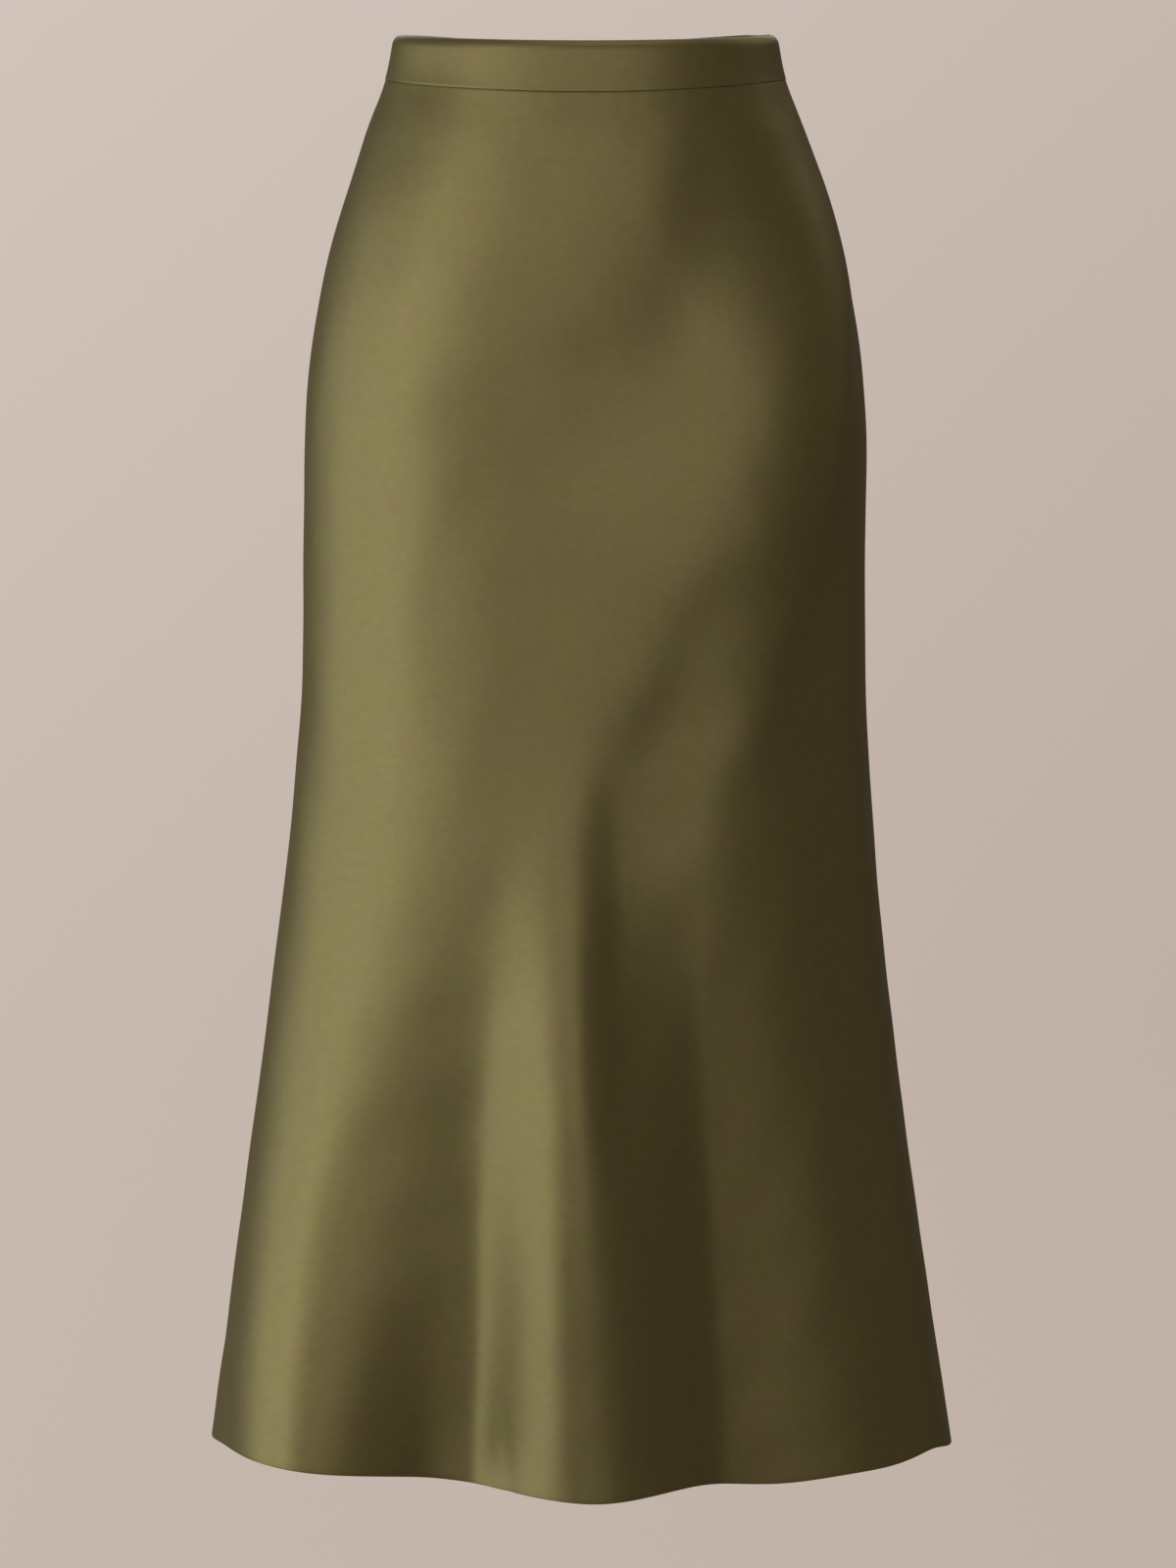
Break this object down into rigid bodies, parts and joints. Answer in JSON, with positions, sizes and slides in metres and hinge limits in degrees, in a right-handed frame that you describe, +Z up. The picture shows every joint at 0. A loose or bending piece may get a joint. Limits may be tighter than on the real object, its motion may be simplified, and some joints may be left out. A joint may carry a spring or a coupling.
{
  "type": "satin midi skirt",
  "caption": "Flared midi skirt in satin with a flat waistband and a concealed side zip, filled out as in wear with soft hanging folds.",
  "frame": {"origin": "middle of the ring that the waistband makes, halfway up the band at its sides, where the wearer's waist holds the skirt", "axes": "+Z up, -Y towards the front, +X towards the wearer's left, where the zip is"},
  "size_m": [0.4725, 0.3695, 0.9009],
  "materials": {
    "satin": "olive satin, soft sheen outside and dull inside",
    "zip_tape": "fine woven polyester tape",
    "zip_slider": "olive enamel, semi-gloss"
  },
  "bodies": {
    "skirt": {"front_panel": "satin", "back_panel": "satin", "waistband_front": "satin", "waistband_back": "satin", "zip_tape": "zip_tape", "zip_slider": "zip_slider"},
    "zip_tab": {"zip_pull": "zip_slider"}
  },
  "joints": [
    {"name": "zip_pull_hinge", "type": "hinge", "parent": "skirt", "child": "zip_tab", "pos_m": [0.11933, 0.02438, 0.00423], "axis": [0.2759, -0.9592, 0.0616], "range_deg": [0, 150]}
  ]
}
